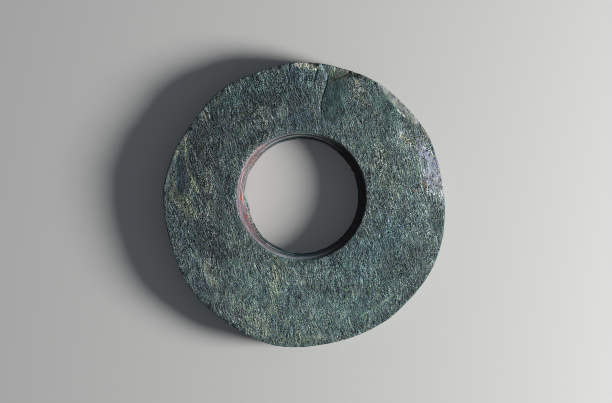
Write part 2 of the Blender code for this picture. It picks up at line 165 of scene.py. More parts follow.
faceMarks = dict(
    # Painted light: the crescent and the three halves make the face lighter at the right and below and
    # darker at the left, as the light falls off across it. The crescent is partly the right margin's paler
    # worn stone as well. The tints and calm of these marks are the stone's own.
    rightCrescent=mark(((409, 128), (424, 148), (432, 167), (437, 192)), 20, stops=0.6, hue=(0.08, 0.03)),
    rightHalfPaintedLight=mark(((392, 130), (412, 190), (405, 250)), 46, 1, 3, stops=0.43, hue=(0.02, 0)),
    lowerHalfPaintedLight=mark(((245, 290), (300, 298), (375, 290)), 36, 1, 3, stops=0.68, calm=0.2),
    leftHalfPaintedShade=mark(
        ((285, 82), (215, 115), (188, 180), (195, 245)), 50, 1, 3, stops=-0.9, hue=(-0.1, 0.08),
        calm=-0.55),
    livelyBand=mark(((207, 112), (206, 190), (209, 265)), 7.5, calm=-1.6, ridged=1.3),
    livelyInner=mark(((240, 84), (236, 124)), 7, calm=-0.7, ridged=0.8),
    livelyMiddle=mark(((264, 82), (263, 124)), 9, calm=-1.4, ridged=0.8),
    livelyRight=mark(((378, 145), (379, 182)), 9, calm=-0.5, ridged=0.7),
    livelyTop=mark(((268, 72), (272, 118)), 20, 1, 3, stops=-0.25, calm=-0.42, ridged=0.6),
    livelyRidges=mark(
        ((294, 68), (300, 90), (303, 122)), 17, 0.9, 3, stops=-0.1, hue=(0, 0.05), calm=0.3, ridged=1.6),
    topSlate=mark(((305, 78), (262, 84), (220, 108)), 17, 1, 3, stops=0.1, hue=(-0.18, 0.04), calm=-0.5),
    leftSlate=mark(((182, 225), (192, 262), (205, 285)), 16, 1, 3, hue=(0, 0.08)),
    rightTeal=mark(((388, 225), (412, 212), (430, 218)), 24, 1, 3, stops=-0.3, hue=(-0.05, 0.05)),
    rightDusk=mark(((388, 203), (398, 212)), 12, 1, 3, stops=-0.3),
    lavenderMargin=mark(
        ((419, 146), (426, 156), (431, 170), (433.5, 186)), 9.5, 0.8, stops=0.68, hue=(0.2, 0.12), calm=0.3,
        ridged=1.5),
    marginDusk=mark(((408, 124), (415, 136), (419, 144)), 7, 0.8, 1.5, stops=-1.1, hue=(-0.08, 0)),
    marginStreakLeft=mark(
        ((418.5, 147), (421, 157), (423, 168)), 1.6, 0.8, 0.5, stops=0.35, hue=(0.05, 0.05), calm=0.5),
    marginStreakMiddle=mark(
        ((426, 152), (429, 162), (430, 171), (429.5, 182)), 1.5, 0.8, 0.4, stops=0.85, hue=(0.06, 0.06),
        calm=0.7),
    marginStreakRight=mark(
        ((432.5, 160), (435, 170), (436.5, 180)), 2.4, 0.7, 0.5, stops=0.8, hue=(0.09, 0.02), calm=0.4),
    rightGlint=mark(
        ((434.5, 156), (438.5, 170), (441, 182)), 1.8, 0.6, 0.3, stops=0.7, hue=(0.22, 0.05), calm=0.3),
    rightGlintLow=mark(((441, 182), (443, 206)), 1.4, 0.6, 0.3, stops=0.6, hue=(0.23, 0.07), calm=0.3),
    # The bevel marks paint the highlight of the bevel facet at the top right, which faces the key light: a
    # pale band along it, with lighter and darker patches that even out the facet's own shading. Their tints
    # are the stone's own.
    bevelBand=mark(
        ((380, 86), (393, 99.5), (404.5, 111), (415.5, 121.5)), 3.1, 0.3, 0.12, stops=1.5,
        hue=(0.36, -0.15), calm=0.75),
    bevelHigh=mark(((378.5, 84), (387.5, 93.5)), 2, 0.7, 0.2, stops=0.75, hue=(-0.02, 0.22), calm=0.1),
    bevelEdge=mark(((387, 98), (390, 101), (394, 105.5)), 1.4, 0.6, 0.12, stops=0.9, hue=(0.1, 0), calm=0.3),
    bevelEdgeLow=mark(
        ((398, 110.3), (401, 113.2), (405, 116.8)), 1.3, 0.7, 0.15, stops=2.5, hue=(0.4, -0.12), calm=0.4),
    bevelEdgeMiddle=mark(((394.5, 106.3), (398, 110.2)), 1.2, 0.7, 0.1, stops=0.9, hue=(0.2, 0), calm=0.5),
    bevelEdgeEnd=mark(((403.5, 115.3), (408, 119.5)), 1.3, 0.7, 0.2, stops=1.3, hue=(0.3, 0), calm=0.5),
    bevelRim=mark(
        ((384, 87.3), (395.5, 97.3), (408, 108.8), (419, 121.3), (428, 135)), 0.6, 0.6, 0.15,
        hue=(0.25, -0.1)),
    bevelEnd=mark(((415, 123), (429, 142)), 2.6, 0.7, 0.5, stops=-0.15, hue=(0.1, -0.05), calm=0.2),
    bevelGap=mark(
        ((391, 96.5), (396.5, 101.5), (406, 111)), 3, 0.6, 0.2, stops=0.55, hue=(0.02, 0.1), calm=0.1),
    bevelDull=mark(((396.5, 103.5), (398, 105)), 2.2, 0.9, 0.2, stops=-0.4),
    bevelLow=mark(((410, 116.5), (413.5, 120)), 3, 0.8, 0.2, stops=-0.6, hue=(-0.08, 0)),
    spallFloor=mark(
        ((379, 98), (390, 111), (396, 118)), 11, 0.6, 1.5, stops=0.15, hue=(-0.07, -0.12), calm=0.4),
    spallGroove=mark(((375, 118), (383, 112), (391, 105)), 1.4, 0.8, 0.8, stops=-0.6),
    spallEnd=mark(((403, 119), (399, 128), (398, 140)), 2.7, 0.9, 1, stops=0.35, hue=(0.05, 0), calm=0.1),
    yellowFlecks=mark(((357, 88), (364, 104)), 9, 0.8, 2.5, stops=0.6, hue=(0.25, -0.1), calm=-0.15),
    ridgePale=mark(
        ((319.5, 64.5), (323.5, 70), (327.8, 77.5)), 2.2, 0.5, 0.3, stops=1.6, hue=(0.2, 0.1), calm=0.6),
    # A painted highlight on the long flake's riser, which faces the key light.
    riserHighlight=mark(
        ((325.5, 78), (322.5, 90), (319.5, 101), (319, 110), (320, 117), (325.5, 124)), 1, 0.8, 0.3,
        stops=0.45, hue=(0, 0.1), calm=0.2),
    ridgeBlue=mark(((320, 72), (318, 86)), 2.6, 0.9, 0.5, stops=0.1, hue=(0, 0.2)),
    ridgeTop=mark(((316, 70), (313.3, 80)), 1.1, 0.6, 0.2, stops=1.2, calm=0.4),
    ridgeShade=mark(((317.8, 69), (316, 75), (314.6, 81)), 1.1, 0.5, 0.2, stops=-2.6, calm=0.5, dig=0.14),
    # A painted highlight on the lit side of the rill, and painted shade on its other side.
    rillHighlight=mark(((301, 80), (301.5, 92), (306, 101)), 1, 0.8, 0.6, stops=0.6),
    rillShade=mark(((304, 80), (305, 92), (309, 101)), 1.1, 0.8, 0.6, stops=-0.7, dig=0.06),
    rimBruise=mark(
        ((296.5, 64.4), (303, 65), (309, 66.5), (318, 68)), 2.8, 0.4, 1.6, stops=2.2, hue=(0.42, -0.2),
        calm=0.6, dig=0.08),
    brownChip=mark(((335, 79), (340, 77)), 2.6, 0.8, 1, stops=-0.2, hue=(0.2, -0.2)),
    chipOlive=mark(((330, 72), (344, 75)), 4.6, 0.8, 1.5, hue=(0.05, -0.4)),
    brownCreaseUp=mark(((343.5, 76), (350, 72)), 0.8, 0.5, 0.3, stops=-2.2, hue=(0.2, 0), dig=0.2),
    brownCreaseAlong=mark(
        ((334, 79.5), (341, 77), (349, 76), (357, 75)), 0.8, 0.6, 0.4, stops=-1.3, hue=(0.2, -0.15),
        dig=0.15),
    brownEdge=mark(((333, 81.6), (345, 80)), 0.9, 0.6, 0.4, stops=0.3, hue=(0.2, -0.2)),
    topRimLine=mark(((326, 65.5), (355, 73.5), (374, 84)), 0.8, 0.6, 0.4, stops=0.2, hue=(0.3, -0.1)),
    flakeStreak=mark(((340.6, 89), (345, 105.5)), 1.2, 0.9, 0.4, stops=0.6, hue=(0, 0.12)),
    # Painted light along the left rim's edge, which faces away from the key; its grey-brown tint is the
    # stone's own.
    leftRimStrip=mark(
        ((189, 130), (185.8, 136), (176, 154.5), (171.5, 165), (168, 176), (166.3, 188)), 2.2, 0.4, 0.15,
        stops=1.1, hue=(0.33, -0.12), calm=0.9),
    # The three left lines are painted highlights on the arrises of the left flake, where they catch the
    # light.
    leftLineOuter=mark(
        ((172.8, 172), (174.2, 185), (175.8, 193), (178.5, 198)), 1.2, 0.6, 0.05, stops=1.05,
        hue=(0.56, -0.3), calm=0.9),
    leftLineInner=mark(
        ((186, 138), (185.4, 151), (186.6, 161), (187.8, 167.5), (189.5, 174)), 1.2, 0.6, 0.05, stops=2.6,
        hue=(0.42, -0.6), calm=0.9),
    leftLineLow=mark(
        ((190, 175), (195.5, 185), (198.3, 192)), 1.2, 0.6, 0.05, stops=2.25, hue=(0.34, -0.5), calm=0.9),
    leftRill=mark(
        ((188.5, 140), (193, 157), (200, 176)), 1.3, 0.6, 0.15, stops=0.7, hue=(0, -0.1), calm=0.3),
    leftTip=mark(
        ((176.8, 183), (178.6, 191), (182.5, 198)), 2.6, 0.6, 0.3, stops=0.75, hue=(-0.14, -0.16), calm=0.3,
        dig=0.1),
    leftFluteOuter=mark(
        ((175.3, 156), (176, 166), (177.6, 175), (178.2, 181)), 1, 0.6, 0.1, stops=1.3, hue=(0, 0.05),
        calm=0.3),
    leftFluteInner=mark(
        ((178.6, 189), (183.8, 198.3)), 0.9, 0.6, 0.1, stops=0.4, hue=(0.14, -0.1), calm=0.3),
    leftSmooth=mark(((190.5, 183), (193, 198)), 4.8, 0.5, 0.8, stops=0.95, hue=(0.1, -0.2), calm=0.5),
    leftStrokes=mark(((190.3, 145), (192.5, 150), (195.2, 155)), 1, 0.6, 0.2, stops=1.5, hue=(0.2, -0.25)),
    leftShadeHigh=mark(((175, 151), (181, 161)), 5, 0.9, 0.8, stops=0.85, hue=(0.05, -0.2)),
    dentPale=mark(
        ((194, 255), (200, 263.5), (206, 273), (210.5, 283)), 3.2, 0.8, 0.8, stops=1.4, hue=(0.14, -0.12),
        calm=0.6),
    dentSpread=mark(((205, 266), (214, 283)), 8, 1, 1.5, stops=0.35, hue=(0.12, -0.12)),
    lowerOlive=mark(((226, 290), (244, 312), (262, 328)), 14, hue=(0.08, -0.05)),
    dentShade=mark(
        ((190.5, 255), (195, 263), (198.5, 271)), 2.2, 0.6, 0.3, stops=0.7, hue=(0, 0.05), calm=0.4),
    blueShadeLow=mark(((193, 279), (203, 293)), 5.5, 0.9, 1.2, hue=(0, 0.2)),
    blueShadeHigh=mark(((202, 246), (212, 251)), 3.2, 0.9, 1, stops=-0.7, hue=(0, 0.1)),
    innerShade=mark(((219, 257), (226, 256), (235, 249)), 5, 0.9, 1, stops=-0.6),
    leftShade=mark(((205, 230), (213, 250)), 17, stops=-1.1, hue=(-0.05, 0.12)),
    oliveSpeckles=mark(((403, 137), (415, 145)), 4, 0.9, 1.5, stops=-0.2, hue=(0.08, -0.2)),
    rustHigh=mark(((424.3, 182), (425, 189)), 1.2, 0.7, 0.2, stops=-1.4, hue=(0.4, -0.35), dig=0.08),
    rustPale=mark(((422, 180), (422.6, 190)), 1.2, 0.8, 0.3, stops=0.7, hue=(0.1, 0)),
    rustFar=mark(((435.5, 180), (436.5, 186)), 1.1, 0.7, 0.2, stops=-1, hue=(0.2, -0.25)),
    rustMiddle=mark(((430, 174), (430.5, 180)), 1.2, 0.8, 0.3, stops=-0.8, hue=(0.1, -0.2)),
    rustLow=mark(((412, 188), (415, 191)), 2.3, 0.9, 0.8, hue=(0.35, -0.2)),
    rustRim=mark(((425, 131), (428.5, 140)), 1, 0.6, 0.3, hue=(0.3, -0.25)),
    longScratch=mark(
        ((360, 317), (373, 309), (386, 300.5), (406, 285.5)), 1.1, 0.5, 0.12, stops=1.1, hue=(0.14, -0.2),
        calm=0.5),
    shortScratch=mark(((345, 141), (349.5, 144)), 0.9, 0.6, 0.2, stops=1.1),
    darkPit=mark(((289.3, 113.5), (290, 115)), 1.5, 0.7, 0.2, stops=-1.8, dig=0.15),
    brownSpot=mark(((243.6, 228), (244.4, 228.5)), 1.4, 0.8, 0.2, stops=0.2, hue=(0.6, -0.4)),
    paleSpot=mark(((291, 267), (295, 268)), 2, 0.9, 0.8, stops=0.9, hue=(0, 0.15)),
    oliveStreak=mark(((275, 252), (276, 280), (273, 310)), 6, 1, 2.5, stops=0.3, hue=(0.1, -0.22)),
    leftFlecks=mark(((206, 176), (209, 188)), 3.2, 0.9, 1.2, stops=0.4, hue=(0.08, -0.1)),
    # Painted shade: the upper left of the face darker, as the light falls off there; its tint is the stone's
    # own.
    upperLeftShade=mark(
        ((285, 90), (262, 92), (222, 122), (203, 150)), 23, 1, 4, stops=-0.6, hue=(-0.05, 0.04),
        calm=-0.12),
    leftOlive=mark(((178, 197), (192, 212)), 9.5, 0.8, stops=0.6, hue=(0.17, -0.25)),
    lowerBlue=mark(((335, 262), (365, 262), (388, 235)), 26, 1, 4, hue=(-0.13, 0.12)),
    topTeal=mark(((334, 96), (338, 112)), 12, 1, 3, hue=(-0.06, 0)),
    innerOlive=mark(((258, 130), (246, 150)), 8, 1, 3, hue=(0.06, -0.12)),
    aboveHole=mark(((235, 150), (262, 126), (300, 120), (330, 126)), 11, stops=-0.38, hue=(-0.06, 0.14)),
    leftOfHole=mark(((228, 175), (227, 215)), 10, stops=-0.4, hue=(-0.02, 0.06)),
    lowerLeftDusk=mark(((200, 285), (217, 303), (235, 318)), 10, stops=-0.4, hue=(0.03, 0.04)),
    rightOlive=mark(((378, 125), (386, 146), (388, 180)), 18, 1, 3, hue=(0.03, -0.08)),
    bottomOlive=mark(((270, 336), (320, 340)), 10, 1, 3, hue=(0.05, -0.12)),
    bottomGreen=mark(((240, 322), (300, 334), (360, 314)), 24, 1, 3, stops=0.48, hue=(0, -0.04)),
    bottomCalm=mark(((275, 335), (320, 338), (366, 305)), 16, 1, 3, calm=0.35),
    upperRightShade=mark(((350, 95), (385, 128), (392, 160)), 22, 1, 3, stops=-0.35, hue=(-0.07, 0.05)),
    lowerRightShade=mark(((400, 262), (415, 285), (375, 315)), 32, 1, 3, stops=-0.65, hue=(-0.06, 0.02)),
    spallLeftShade=mark(((368, 104), (377, 113)), 7, stops=-0.5),
    upperRightLight=mark(((398, 119), (402, 138), (408, 154)), 11, stops=0.5, hue=(0.06, 0.03)),
    upperLeftDusk=mark(((212, 118), (200, 138), (193, 156), (216, 166)), 12, stops=-0.65),
    flecksDusk=mark(((203, 184), (205, 199)), 8, 1, 1.5, stops=-1),
    topLeftDusk=mark(((238, 92), (250, 95), (272, 106)), 9, stops=-0.75, hue=(-0.05, 0.06)),
    besideFlakeLight=mark(((332, 93), (358, 95)), 9, stops=0.35),
    leftLowLight=mark(((192, 216), (197, 234), (190, 250)), 10, stops=0.35, hue=(0, -0.05)),
    lowDusk=mark(((222, 288), (246, 293)), 10, stops=-0.5),
    belowHoleLight=mark(((244, 264), (262, 273), (302, 278)), 8, stops=0.38, hue=(0.06, -0.03)),
    lowMiddleDusk=mark(((314, 291), (344, 290), (370, 286)), 9, stops=-0.55),
    lowerRightLight=mark(((408, 279), (388, 304), (368, 318)), 13, stops=0.5, hue=(0.04, 0)),
    rightLowDusk=mark(((417, 246), (414, 264)), 9, stops=-0.4),
    rightMarginLow=mark(((414, 192), (425, 212), (429, 236)), 10, stops=0.6, hue=(0.05, 0)),
    bottomRimLight=mark(((266, 332), (291, 336), (312, 341), (334, 335)), 8, stops=0.45, hue=(0.05, 0)),
    # A painted highlight along the mouth's edge, where it faces the key light.
    mouthArrisHighlight=mark(
        ((278.5, 133.4), (263.1, 141.4), (250.3, 153.2), (240.9, 168), (235.7, 184.5), (234.7, 196),
        (237, 213)), 1, 0.8, 0.2, stops=0.55, hue=(0.1, 0.2)),
)

# Marks on the wall of the hole, which the tapered bore turns to the camera.
wallMarks = dict(
    pinkLine=mark(
        ((243, 168), (241.6, 185), (242.4, 198), (246.3, 212)), 0.8, 0.8, 0.2, stops=0.5, hue=(0.15, 0)),
    redStreak=mark(
        ((240.6, 188), (242, 203), (246.5, 217), (256, 234)), 0.8, 0.8, 0.4, stops=-0.2, hue=(0.7, -0.1)),
    redHigh=mark(((241, 195.5), (241.6, 200)), 1, 0.7, 0.2, stops=-1, hue=(2.4, -0.45)),
    redLow=mark(((245.6, 215), (246.8, 217.5)), 1.2, 0.7, 0.2, stops=-1.3, hue=(3.2, -0.6)),
    rustUpper=mark(((251, 164.5), (253, 161), (256, 158)), 1, 0.8, 0.3, stops=-0.2, hue=(0.9, -0.5)),
    pinkTop=mark(((260, 149), (265, 145)), 1.6, 0.9, 0.5, stops=0.3, hue=(0.4, 0)),
    lipBand=mark(
        ((245.3, 197), (247.1, 205), (248.8, 214), (252.3, 223.5), (262, 238)), 2.2, 0.5, 0.3, stops=0.3,
        hue=(-0.3, -0.12)),
    # A painted highlight, bluish, on the edge of the mouth where it faces the key light.
    mouthEdgeHighlight=mark(((236.6, 181), (235.6, 195), (236.4, 209)), 1.4, 0.6, 0.2, stops=1.1, hue=(0.35, 1.2)),
    blueBelowMouth=mark(((241.5, 215), (247, 228), (257, 242)), 0.9, 0.8, 0.3, stops=-0.3, hue=(-0.3, 0.15)),
    mouthGlint=mark(
        ((284, 132.7), (268.4, 139.1), (253, 152), (244.4, 163.2), (237.8, 179)), 0.9, 0.8, 0.2, stops=0.6),
    # The grooves and crests below are painted light and shade: lighter in the wall's grooves, which lie in
    # shadow, and darker on its crests, so that the wall looks even across its height.
    upperGroove=mark(
        ((291, 137.4), (271.6, 144.5), (259, 154), (248.5, 167), (242.5, 181), (240.8, 196),
        (242.9, 211.7)), 1.1, 0.8, 0.2, stops=0.7),
    upperCrest=mark(((252.8, 155.3), (241.8, 174.4), (238, 196), (239, 207)), 1, 0.8, 0.2, stops=-0.45),
    lowerCrest=mark(((252.5, 234), (270, 250), (291, 257.6)), 1, 0.8, 0.2, stops=-0.55),
    lowerGroove=mark(
        ((267.7, 243.9), (279.4, 250.2), (293.2, 253.9)), 1.9, 0.8, 0.2, stops=1.6, hue=(0.1, 0)),
)

# Painted light and shade round the hole's wall, with its tint: heading, stops lighter, redder,
# bluer. The stops paint the side that faces away from the key light near black, and the sides
# that face it lighter; the rosy and blue tints are the stone's own.
wallPaintedShadeAndTint = (
    (0, -3.0, 0.2, -0.15), (45, -2.4, 0.2, -0.35), (60, 0.1, 0.1, -0.1), (75, 1.1, -0.1, -0.05),
    (90, 0.35, -0.2, -0.05), (105, -0.5, -0.15, 0.0), (120, 0.15, 0.0, 0.05), (135, 0.0, 0.35, 0.0),
    (150, 0.15, 0.32, 0.0), (180, -0.1, 0.15, 0.03), (195, -0.3, 0.28, 0.08), (210, -0.4, 0.37, 0.05),
    (225, -0.5, 0.05, 0.03), (240, 0.0, -0.1, 0.04), (255, 1.25, -0.33, 0.03), (270, 1.7, -0.26, 0.05),
    (285, 0.65, -0.32, 0.12), (300, -1.3, 0.0, 0.1), (315, -3.0, 0.2, 0.1), (360, -3.0, 0.2, -0.15),
)
# A painted highlight round the mouth's edge, on the side that faces the key light.
mouthGlint = {
    "headings": (110, 140, 240, 270),   # from nothing to full, and back to nothing
    "stops": 0.25,
}

# Small chips and one tooth on the rim's front edge: heading, length along the rim, depth inwards.
rimNicks = (
    (114.8, 1.6, -0.5), (112.6, 2.2, 0.4), (125.8, 2.4, 0.6), (132.7, 1.8, 0.4), (146.6, 2.6, 0.7),
    (203.8, 2.0, 0.4), (214.3, 2.4, 0.4), (226.0, 2.6, 0.5), (233.0, 2.0, 0.6), (238.8, 3.0, 0.6),
    (243.5, 2.2, 0.5), (36.0, 2.0, 0.2), (60.5, 2.4, 0.4), (303.0, 2.0, 0.3), (333.0, 1.6, 0.3),
)


def direction(heading):
    return Vector((math.cos(math.radians(heading)), math.sin(math.radians(heading)), 0))


def smoothStep(low, high, value):
    share = np.clip((value - low) / (high - low), 0, 1)
    return share * share * (3 - 2 * share)


def cadTree():
    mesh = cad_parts["stone_bi_disc"].data
    corners = [vert.co / mm for vert in mesh.vertices]
    return BVHTree.FromPolygons(corners, [tuple(face.vertices) for face in mesh.polygons])


# Rays that fan out from inside the stone's section to its skin, once round the section:
# share of the way from bore to rim, share of the height, then the way out and the way up.
def sectionRays():
    inner = (np.arange(disc["cornerRings"]) + 1) / (disc["cornerRings"] + 1) * 2 - 1
    corner = math.pi / 4 * (1 + np.sign(inner) * np.abs(inner) ** disc["cornerCrowding"])
    rays = [(t, 1, 0, 1, "face") for t in np.linspace(0, 1, disc["faceRings"])]
    rays += [(1, 1, math.sin(a), math.cos(a), "frontArris") for a in corner]
    rays += [(1, h, 1, 0, "rim") for h in np.linspace(1, 0, disc["rimRings"])]
    rays += [(1, 0, math.cos(a), -math.sin(a), "backArris") for a in corner]
    rays += [(t, 0, 0, -1, "back") for t in np.linspace(1, 0, disc["backRings"])]
    rays += [(0, 0, -math.sin(a), -math.cos(a), "exit") for a in corner]
    rays += [(0, h, -1, 0, "bore") for h in np.linspace(0, 1, disc["boreRings"])]
    rays += [(0, 1, -math.cos(a), math.sin(a), "mouth") for a in corner]
    return rays


# Turns a ray of the exit's corner so that the middle one of the fan meets the foot of the wall.
def aimAtFoot(start, foot, away, up):
    middle = math.atan2(math.hypot(start.x - foot.x, start.y - foot.y), start.z)
    turn = math.atan2(-away, -up) / (math.pi / 4)
    turn = turn * middle if turn < 1 else middle + (turn - 1) * (math.pi / 2 - middle)
    return -math.sin(turn), -math.cos(turn)


# Headings of the skin's rows, closest where the face has most scars.
def rowHeadings():
    steps = np.arange(disc["headings"]) * 360 / disc["headings"]
    crowding = disc["crowding"] * np.degrees(np.sin(np.radians(steps - disc["crowdedHeading"])))
    return steps - crowding


# Where the rays meet the solid: one row of points for each heading.
def laySkin(tree, rays):
    bore = Vector((*disc["boreCentre"], thickness / 2))
    rimMiddle = Vector((*disc["rimCentre"], thickness / 2))
    inset = disc["inset"]
    skin = np.empty((disc["headings"], len(rays), 3))
    for step, heading in enumerate(rowHeadings()):
        out = direction(heading)
        inner = tree.ray_cast(bore, out)[0]
        foot = tree.ray_cast(Vector((bore.x, bore.y, disc["footHeight"])), out)[0]
        outer = tree.ray_cast(rimMiddle + out * disc["reach"], -out)[0]
        across = (outer - inner).normalized()
        inner += across * inset
        outer -= across * inset
        for ring, (share, height, away, up, region) in enumerate(rays):
            start = inner.lerp(outer, share)
            start.z = inset + (thickness - 2 * inset) * height
            if region == "exit":
                away, up = aimAtFoot(start, foot, away, up)
            hit = tree.ray_cast(start, across * away + Vector((0, 0, up)))[0]
            skin[step, ring] = hit
    return skin


def gridNormals(skin):
    along = np.roll(skin, -1, 0) - np.roll(skin, 1, 0)
    around = np.roll(skin, -1, 1) - np.roll(skin, 1, 1)
    normals = np.cross(along, around)
    normals /= np.linalg.norm(normals, axis=2, keepdims=True)
    return normals if normals[0, disc["faceRings"] // 2, 2] > 0 else -normals


# One of the textures at every point, from about minus its height to its height, times the shares.
def textureAt(points, name, *shares):
    height, size, octaves, seed = textures[name]
    for share in shares:
        height = height * share
    shifted = points / np.array(size) + seed
    values = [noise.fractal(place, 1.0, 2.0, octaves) for place in shifted.reshape(-1, 3).tolist()]
    return height * np.array(values).reshape(points.shape[:-1])


def ringMask(rays, *regions):
    return np.array([1.0 if ray[4] in regions else 0.0 for ray in rays])[None, :]


# The pixels of the picture in which the camera shows the skin's points.
def pictureOf(skin):
    pixel = view["widthShown"] / view["picture"][0]
    nearer = view["height"] / (view["height"] + thickness - skin[..., 2]) / pixel
    across = view["picture"][0] / 2 + (skin[..., 0] - view["place"][0]) * nearer
    down = view["picture"][1] / 2 - (skin[..., 1] - view["place"][1]) * nearer
    return across, down


# For every point: how far it lies to the right of a path that runs down the picture, and the share
# of the path that is passed by there.
def besidePath(picture, path):
    across, down = picture
    whole = sum(math.dist(start, end) for start, end in zip(path, path[1:]))
    nearest = np.full(across.shape, np.inf)
    aside = np.zeros(across.shape)
    share = np.zeros(across.shape)
    passed = 0.0
    for start, end in zip(path, path[1:]):
        length = math.dist(start, end)
        wayAcross, wayDown = (end[0] - start[0]) / length, (end[1] - start[1]) / length
        along = np.clip((across - start[0]) * wayAcross + (down - start[1]) * wayDown, 0, length)
        offAcross = across - start[0] - along * wayAcross
        offDown = down - start[1] - along * wayDown
        gap = np.hypot(offAcross, offDown)
        closer = gap < nearest
        nearest = np.where(closer, gap, nearest)
        aside = np.where(closer, np.copysign(gap, offAcross * wayDown - offDown * wayAcross), aside)
        share = np.where(closer, (passed + along) / whole, share)
        passed += length
    return aside * view["widthShown"] / view["picture"][0], share


def addEffects(fields, mask, effects):
    for effect, amount in effects.items():
        fields[effect] += amount * mask


def layMarks(fields, picture, ragged, where, marks):
    for each in marks.values():
        aside = besidePath(picture, each["path"])[0]
        half = each["width"] / 2
        mask = 1 - smoothStep(half * (1 - each["soft"]), half, np.abs(aside) + each["ragged"] * ragged)
        addEffects(fields, mask * where, each["effects"])


# How far out of an oval hollow of the solid a point is: 1 on its edge.
def outOfHollow(skin, hollow, rimRadius):
    rim = np.interp(hollow["heading"], rowHeadings(), rimRadius)
    middle = direction(hollow["heading"]) * (rim - hollow["inset"])
    east = skin[..., 0] - disc["rimCentre"][0] - middle.x
    north = skin[..., 1] - disc["rimCentre"][1] - middle.y
    axis = direction(hollow["axis"])
    along = (east * axis.x + north * axis.y) / (hollow["length"] / 2)
    across = (north * axis.x - east * axis.y) / (hollow["width"] / 2)
    return np.hypot(along, across)


# Puts the step scars where the solid has round hollows, and lays their effects in the fields.
def cutSteps(skin, fields, picture, ragged, face, inset, rimRadius):
    shape = stepShape
    for scar in stepScars.values():
        riser, reach = scar["riser"], scar["reach"]
        aside, share = besidePath(picture, scar["path"])
        aside = aside * scar["side"] + shape["ragged"] * ragged
        opened = smoothStep(0, scar["opens"], share)
        ends = opened * (1 - smoothStep(1 - scar["closes"], 1, share))
        fall = smoothStep(-riser, 0, aside)
        climb = 1 - smoothStep(shape["climbFrom"] * reach, reach, aside)
        depth = scar["depth"] * ends * fall * climb
        outside = smoothStep(*shape["hollowEdge"], outOfHollow(skin, scar["hollow"], rimRadius))
        swap = face * (1 - outside) * smoothStep(*shape["rimGuard"], inset)
        skin[..., 2] += swap * (thickness - depth - skin[..., 2])
        here = swap * ends
        # A painted highlight on the riser, and painted shade in the crack along its foot.
        band, bandEnd = shape["lip"]
        riserHighlightMask = smoothStep(-riser, -band * riser, aside) * (1 - smoothStep(-bandEnd, 0, aside))
        floorStart, floorFade = shape["floor"]
        inner = smoothStep(0, floorStart, aside) * (1 - smoothStep(floorFade * reach, reach, aside))
        floorEnds = opened * (1 - smoothStep(shape["floorCloses"], 1, share))
        addEffects(fields, swap * inner * floorEnds, scar["floor"])
        addEffects(fields, here * riserHighlightMask, scar["lip"])
        crack = np.exp(-((aside - shape["crackOff"]) / scar["crack"]) ** 2)
        addEffects(fields, here * crack, scar["foot"])


# Where the points lie from a centre: east and north, then heading and distance.
def polar(skin, centre):
    east, north = skin[..., 0] - centre[0], skin[..., 1] - centre[1]
    return east, north, np.degrees(np.arctan2(north, east)) % 360, np.hypot(east, north)


# Sets the foot of the wall back before the lip, roughens the lip and marks it as broken stone.
def breakLip(skin, fields, rays):
    east, north, headings, radius = polar(skin, disc["boreCentre"])
    wall = ringMask(rays, "bore", "exit")
    low = np.clip(1 - skin[..., 2] / lip["height"], 0, 1)
    back = np.interp(headings, *zip(*lip["starts"])) * low ** 2 * (1 - smoothStep(*lip["edge"], radius))
    broken = wall * np.interp(headings, *zip(*lip["broken"])) * smoothStep(0, lip["brokenFrom"], low)
    back = (back + textureAt(skin, "brokenLip", broken)) * wall
    skin[..., 0] += back * east / radius
    skin[..., 1] += back * north / radius
    fields["broken"] += broken


# Paints light and shade round the hole's wall with its tint, and a highlight at the mouth.
def paintWall(fields, skin, rays):
    headings = polar(skin, disc["boreCentre"])[2]
    wall = ringMask(rays, "bore", "mouth", "exit")
    angles, *sides = zip(*wallPaintedShadeAndTint)
    for effect, side in zip(("stops", "redder", "bluer"), sides):
        fields[effect] += wall * np.interp(headings, angles, side)
    lit = np.interp(headings, mouthGlint["headings"], (0, 1, 1, 0))
    fields["stops"] += mouthGlint["stops"] * lit * ringMask(rays, "mouth")


